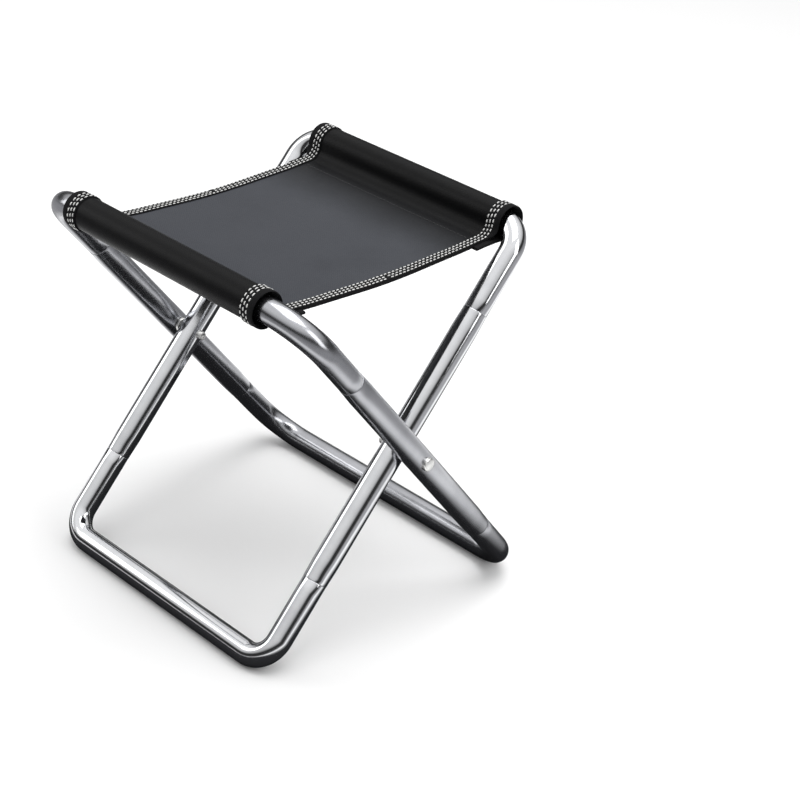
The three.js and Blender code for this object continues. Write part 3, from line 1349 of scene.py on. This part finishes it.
@dataclass
class Studio:
    """A pale floor under plain soft light, with a painted shadow and painted pale bands that only
    reflections show.
    """

    floor_half: float = 20.0
    floor_colour: str = "#f2f2f2"
    room_colour: str = "#fafafa"
    shade_reach: float = 0.6

    def build(self) -> None:
        """Lay the floor, hang the lights and colour the room.

        The lights are large and soft, as in a product studio.
        """
        self.floor()
        self.room()
        target = Vector((0.0, 0.0, 0.14))
        for box in (
            Softbox("top_softbox", (0.1, 0.2, 1.7), (1.5, 1.1), 16.0),
            Softbox("left_softbox", (-1.5, -0.9, 1.0), (0.7, 1.3), 6.0),
            Softbox("right_softbox", (1.5, 0.3, 0.9), (0.6, 1.2), 6.0),
        ):
            box.build(target)

    def floor(self) -> None:
        """Lay the floor.

        It is stage, so it isn't part of the stool.
        """
        h = self.floor_half
        draft = Draft()
        corners = [[Vector((x, y, 0.0)) for x in (-h, h)] for y in (-h, h)]
        draft.loft(corners, (-h, h), (-h, h))
        mesh = bpy.data.meshes.new("floor")
        mesh.from_pydata(draft.points, [], draft.faces)
        floor = bpy.data.objects.new("floor", mesh)
        bpy.context.scene.collection.objects.link(floor)
        mesh.materials.append(self.floor_material())

    def floor_material(self) -> bpy.types.Material:
        """Make the floor's paint.

        Returns:
            A pale paint for the camera; glossy rays see it with a painted shadow under the stool
            and painted pale and grey bands round it.
        """
        material = bpy.data.materials.new("matt_studio_floor")
        material.use_nodes = True
        tree = material.node_tree
        shader = tree.nodes["Principled BSDF"]
        shader.inputs["Roughness"].default_value = 0.9
        shader.inputs["Specular IOR Level"].default_value = 0.1
        place = add_node(tree, "ShaderNodeTexCoord").outputs["Object"]
        # Halved along Y, so that the painted pale bands, painted reflections of bright cards that
        # aren't in the room, lie to the stool's left and right.
        spread = add_node(
            tree,
            "ShaderNodeMapping",
            inputs={"Vector": place, "Scale": (1.0, 0.5, 1.0)},
        )
        away = add_node(
            tree,
            "ShaderNodeVectorMath",
            {"operation": "LENGTH"},
            {0: spread.outputs[0]},
        )
        shade = add_node(
            tree,
            "ShaderNodeMapRange",
            inputs={"Value": away.outputs["Value"], "From Max": self.shade_reach},
        )
        # Painted shadow for glossy rays only: dark under the stool, pale a little further out,
        # greyer beyond.
        painted_reflection = add_node(tree, "ShaderNodeValToRGB", inputs={"Fac": shade.outputs["Result"]})
        set_ramp(painted_reflection, [(0.27, "#2a2a2c"), (0.42, "#f6f6f6"), (0.54, "#f6f6f6"), (0.72, "#9a9a9c")])
        ray = add_node(tree, "ShaderNodeLightPath")
        paint = add_node(
            tree,
            "ShaderNodeMix",
            {"data_type": "RGBA"},
            {
                0: ray.outputs["Is Glossy Ray"],
                6: linear(self.floor_colour),
                7: painted_reflection.outputs["Color"],
            },
        )
        tree.links.new(paint.outputs[2], shader.inputs["Base Color"])
        return material

    def room(self) -> None:
        """Colour the room round the stool.

        Polished tubes see it bright above with darker walls, and the camera sees it plain.
        """
        world = bpy.data.worlds.new("studio")
        world.use_nodes = True
        bpy.context.scene.world = world
        tree = world.node_tree
        direction = add_node(tree, "ShaderNodeTexCoord").outputs["Generated"]
        parts = add_node(tree, "ShaderNodeSeparateXYZ", inputs={0: direction})
        wall = add_node(tree, "ShaderNodeValToRGB", inputs={"Fac": parts.outputs["Z"]})
        set_ramp(wall, [(0.0, 0.2), (0.06, 0.05), (0.28, 0.02), (0.42, 0.6), (0.75, 1.0)])
        ray = add_node(tree, "ShaderNodeLightPath")
        plain = linear(self.room_colour)
        mixed = {0: ray.outputs["Is Camera Ray"], 6: wall.outputs["Color"], 7: plain}
        colour = add_node(tree, "ShaderNodeMix", {"data_type": "RGBA"}, mixed)
        background = tree.nodes["Background"]
        tree.links.new(colour.outputs[2], background.inputs["Color"])
        background.inputs["Strength"].default_value = 1.1


# ---------------------------------------------------------------------------------------------
# The whole
# ---------------------------------------------------------------------------------------------


def main(frame: dict, report: Callable[[str, object], None] = LOG.info) -> None:
    """Build the stool and its studio.

    Args:
        report: Where the finished pieces are reported.
    """
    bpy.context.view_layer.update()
    layout = Layout.read(frame)
    Camera().build()
    Studio().build()
    assemblies: list[TubeFrame | PivotHardware | SeatHalf] = [
        TubeFrame(
            name="outer",
            body="frame_outer",
            slot="satin_steel",
            finish=Finish.SATIN_TUBE,
            layout=layout,
            half_width=layout.outer_x,
            top_rail=layout.front_rail,
            corner_radius=31 * MM,
        ),
        TubeFrame(
            name="inner",
            body="frame_inner",
            slot="bright_steel",
            finish=Finish.BRIGHT_TUBE,
            layout=layout,
            half_width=layout.inner_x,
            top_rail=layout.back_rail,
            corner_radius=19 * MM,
        ),
        *(PivotHardware(layout, side) for side in Side),
        SeatHalf(layout, Half.FRONT, rub_from=8 * MM, rub_to=34 * MM),
        # The back half's painted light grows slowly, leaving a wide band of painted shade by its
        # sleeve.
        SeatHalf(layout, Half.BACK, rub_from=12 * MM, rub_to=78 * MM),
    ]
    for assembly in assemblies:
        for piece in assembly.build():
            report("made %s", piece.name)
    bpy.context.view_layer.update()


if __name__ == "__main__":
    logging.basicConfig(level=logging.INFO, format="%(name)s: %(message)s")
    bpy.context.scene.view_settings.view_transform = "Standard"
    main(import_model())
